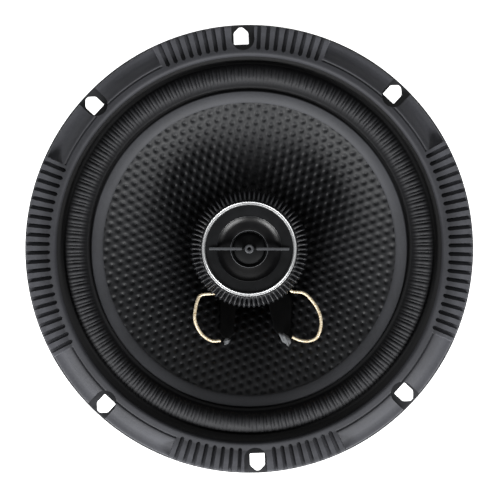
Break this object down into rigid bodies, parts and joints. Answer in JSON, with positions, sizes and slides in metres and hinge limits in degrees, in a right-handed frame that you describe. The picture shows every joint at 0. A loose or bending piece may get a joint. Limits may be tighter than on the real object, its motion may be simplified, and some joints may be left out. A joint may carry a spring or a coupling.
{
  "type": "coaxial car speaker",
  "caption": "Round coaxial car speaker: steel basket, ferrite motor, dimpled cone on a ribbed rubber surround, moulded gasket and a post-mounted horn tweeter.",
  "frame": {"origin": "centre of the motor's rear face, the flat face that the speaker rests on", "axes": "+Z along the speaker's axis towards the listener, -Y towards the terminals"},
  "size_m": [0.166, 0.166, 0.0636],
  "materials": {
    "black_paint": "black electrophoretic paint, satin",
    "trim_rubber": "moulded black rubber, fine matt grain",
    "zinc_plate": "clear zinc plate, satin",
    "ferrite": "sintered and ground ferrite, matt dark grey",
    "rivet_steel": "zinc plated steel",
    "terminal_board": "pressed phenolic paper board",
    "tab_brass": "stamped brass",
    "surround_rubber": "moulded butyl rubber with fine radial ribs",
    "spider_cloth": "phenolic dipped cotton cloth",
    "cone_polypropylene": "moulded black polypropylene, dimpled",
    "former_film": "amber polyimide film",
    "coil_copper": "enamelled copper wire",
    "solder": "dull grey solder",
    "adhesive": "black elastic adhesive",
    "black_plastic": "moulded black ABS",
    "neodymium": "nickel plated magnet",
    "capacitor_sleeve": "dark sleeve",
    "dome_film": "black lacquered dome",
    "gloss_plastic": "high gloss black ABS",
    "polished_aluminium": "turned and polished",
    "collar_plastic": "moulded black ABS with fine flutes",
    "lead_braid": "gold coloured tinsel braid"
  },
  "bodies": {
    "basket": {"basket": "black_paint", "front_gasket": "trim_rubber", "top_plate": "zinc_plate", "magnet": "ferrite", "t_yoke": "zinc_plate", "basket_rivet_1": "rivet_steel", "basket_rivet_2": "rivet_steel", "basket_rivet_3": "rivet_steel", "basket_rivet_4": "rivet_steel", "terminal_board": "terminal_board", "terminal_tab_positive": "tab_brass", "terminal_tab_negative": "tab_brass", "terminal_rivet_1": "rivet_steel", "terminal_rivet_2": "rivet_steel", "surround": "surround_rubber", "spider": "spider_cloth", "tweeter_post": "black_plastic", "tweeter_post_screw": "rivet_steel", "tweeter_base": "black_plastic", "tweeter_yoke": "zinc_plate", "tweeter_magnet": "neodymium", "tweeter_pole_plate": "zinc_plate", "tweeter_capacitor": "capacitor_sleeve", "tweeter_diaphragm_ring": "black_plastic", "tweeter_face": "gloss_plastic", "tweeter_trim_ring": "polished_aluminium", "tweeter_fluted_collar": "collar_plastic", "tweeter_lug_left": "tab_brass", "tweeter_lug_right": "tab_brass", "tweeter_lead_left": "lead_braid", "tweeter_lead_right": "lead_braid", "woofer_lead_left": "lead_braid", "woofer_lead_right": "lead_braid"},
    "cone": {"cone": "cone_polypropylene", "voice_coil_former": "former_film", "voice_coil_winding": "coil_copper", "eyelet_left": "solder", "eyelet_right": "solder", "glue_strip_left": "adhesive", "glue_strip_right": "adhesive"},
    "tweeter_dome": {"tweeter_dome": "dome_film", "tweeter_voice_coil": "coil_copper"}
  },
  "joints": [
    {"name": "cone_travel", "type": "slide", "parent": "basket", "child": "cone", "axis": [0, 0, 1], "range_m": [-0.004, 0.004], "stiffness_N_per_m": 1800, "deforming": ["surround", "spider", "tweeter_lead_left", "tweeter_lead_right", "woofer_lead_left", "woofer_lead_right"]},
    {"name": "tweeter_dome_travel", "type": "slide", "parent": "basket", "child": "tweeter_dome", "axis": [0, 0, 1], "range_m": [-0.00025, 0.00025], "stiffness_N_per_m": 300}
  ]
}
